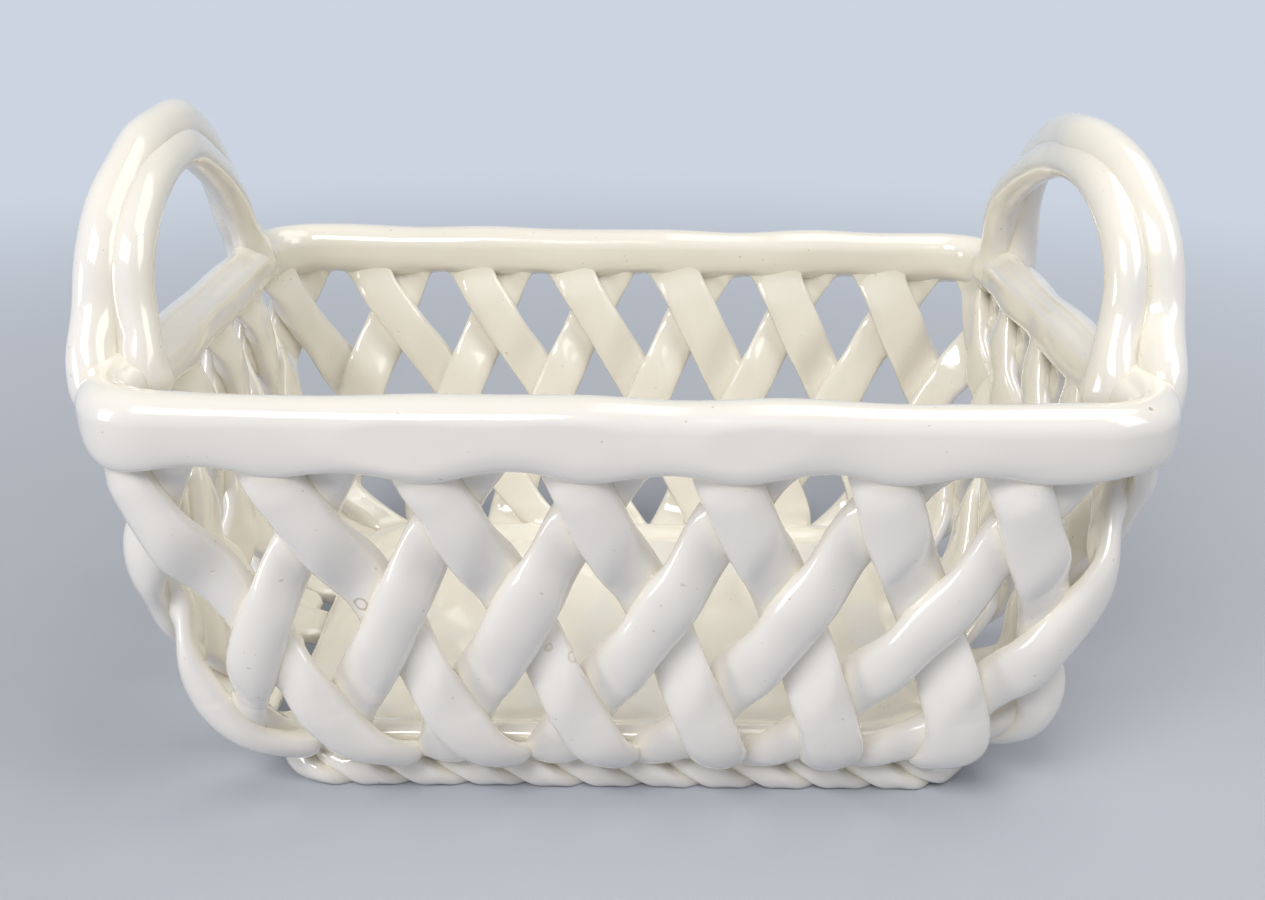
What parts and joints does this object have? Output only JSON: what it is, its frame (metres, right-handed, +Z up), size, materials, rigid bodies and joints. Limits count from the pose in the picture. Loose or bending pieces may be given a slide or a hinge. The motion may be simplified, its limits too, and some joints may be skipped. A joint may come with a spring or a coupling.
{
  "type": "woven ceramic basket",
  "caption": "Rectangular glazed ceramic basket with a flared wall of woven straps, a thick rounded rim, a twisted rope foot and an arched double-rod handle at each end.",
  "frame": {"origin": "on the surface that the foot rests on, under the middle of the whole basket", "axes": "+X along the rim to the right-hand handle, +Y from the front long side to the back, +Z up"},
  "size_m": [0.2996, 0.213, 0.1903],
  "materials": {
    "glaze": "gloss"
  },
  "bodies": {
    "root": {"rim_band": "glaze", "floor_slab": "glaze", "foot_rope_strand_1": "glaze", "foot_rope_strand_2": "glaze", "handle_left_outer_rod": "glaze", "handle_left_inner_rod": "glaze", "handle_right_outer_rod": "glaze", "handle_right_inner_rod": "glaze", "strap_left_01": "glaze", "strap_right_01": "glaze", "strap_left_02": "glaze", "strap_right_02": "glaze", "strap_left_03": "glaze", "strap_right_03": "glaze", "strap_left_04": "glaze", "strap_right_04": "glaze", "strap_left_05": "glaze", "strap_right_05": "glaze", "strap_left_06": "glaze", "strap_right_06": "glaze", "strap_left_07": "glaze", "strap_right_07": "glaze", "strap_left_08": "glaze", "strap_right_08": "glaze", "strap_left_09": "glaze", "strap_right_09": "glaze", "strap_left_10": "glaze", "strap_right_10": "glaze", "strap_left_11": "glaze", "strap_right_11": "glaze", "strap_left_12": "glaze", "strap_right_12": "glaze", "strap_left_13": "glaze", "strap_right_13": "glaze", "strap_left_14": "glaze", "strap_right_14": "glaze", "strap_left_15": "glaze", "strap_right_15": "glaze", "strap_left_16": "glaze", "strap_right_16": "glaze", "strap_left_17": "glaze", "strap_right_17": "glaze", "strap_left_18": "glaze", "strap_right_18": "glaze", "strap_left_19": "glaze", "strap_right_19": "glaze", "strap_left_20": "glaze", "strap_right_20": "glaze", "strap_left_21": "glaze", "strap_right_21": "glaze", "strap_left_22": "glaze", "strap_right_22": "glaze", "strap_left_23": "glaze", "strap_right_23": "glaze"}
  },
  "joints": []
}
